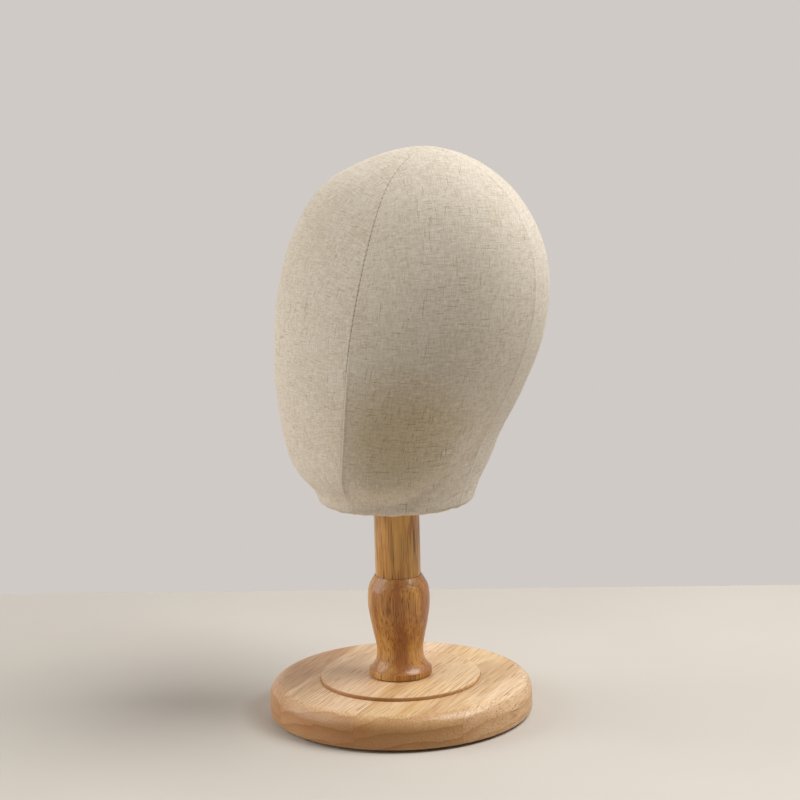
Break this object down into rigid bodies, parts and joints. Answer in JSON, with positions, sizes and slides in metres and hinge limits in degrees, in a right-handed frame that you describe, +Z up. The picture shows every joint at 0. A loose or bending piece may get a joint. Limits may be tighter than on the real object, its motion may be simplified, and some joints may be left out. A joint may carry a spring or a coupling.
{
  "type": "mannequin head on a turned wooden stand",
  "caption": "Faceless linen-covered head form that turns on a turned wooden post with a round base, for showing or shaping hats and wigs.",
  "frame": {"origin": "centre of the underside, on the post's axis, in the plane that the part stands on", "axes": "+Z up along the post; the face looks along -Y and the back of the head along +Y; the head's left ear is on +X"},
  "size_m": [0.19, 0.2148, 0.4089],
  "materials": {
    "linen": "natural undyed linen, plain weave with slubs",
    "pale_wood": "pale straight-grained hardwood, satin lacquer",
    "honey_wood": "honey-brown hardwood with short dark pores, satin lacquer",
    "felt": "dark pressed felt",
    "steel": "zinc-plated steel",
    "brass": "plain brass",
    "board": "raw plywood",
    "filling": "pressed filling, not seen",
    "sleeve": "plain natural plastic"
  },
  "bodies": {
    "stand": {"felt_pad": "felt", "base": "pale_wood", "base_bolt": "steel", "base_washer": "steel", "post_insert": "brass", "post": "honey_wood"},
    "sleeve": {"spigot_sleeve": "sleeve"},
    "head": {"neck_board": "board", "socket_block": "pale_wood", "head_core": "filling", "underside_cloth": "linen", "cover_front_left": "linen", "cover_front_right": "linen", "cover_back_left": "linen", "cover_back_right": "linen", "board_screw_1": "steel", "board_screw_2": "steel", "board_screw_3": "steel"}
  },
  "joints": [
    {"name": "head_turn", "type": "hinge", "parent": "stand", "child": "sleeve", "pos_m": [0, 0, 0.157], "axis": [0, 0, 1], "continuous": true},
    {"name": "head_lift", "type": "slide", "parent": "sleeve", "child": "head", "axis": [0, 0, 1], "range_m": [0, 0.06]}
  ]
}
